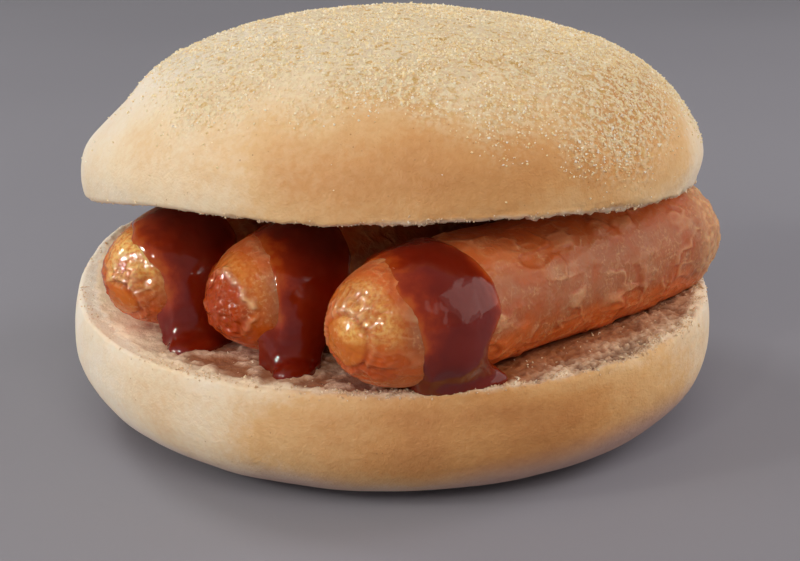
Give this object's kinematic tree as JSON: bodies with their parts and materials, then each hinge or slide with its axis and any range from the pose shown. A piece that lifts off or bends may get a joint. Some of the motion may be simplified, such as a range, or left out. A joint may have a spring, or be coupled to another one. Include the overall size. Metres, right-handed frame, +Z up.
{
  "type": "sausage breakfast roll",
  "caption": "Split soft round bread roll holding cooked sausages side by side, with thick brown sauce poured over their front ends.",
  "frame": {"origin": "on the table, under the middle of the whole object's bounding box", "axes": "+Z up, +Y from the front of the roll to its back, +X to the right. The sausages run from the front left to the back right."},
  "size_m": [0.122, 0.1246, 0.0771],
  "materials": {
    "bread": "matt baked bread crust, cream to golden brown, with a dusting of semolina and a porous pale crumb",
    "sausage": "shiny, finely wrinkled fried sausage casing, orange brown to pinkish beige",
    "sauce": "wet, very glossy dark red-brown sauce, redder and slightly clear where it is thin"
  },
  "bodies": {
    "root": {"roll_heel": "bread", "roll_crown": "bread", "sausage_left": "sausage", "sausage_middle": "sausage", "sausage_right": "sausage", "sauce": "sauce"}
  },
  "joints": []
}
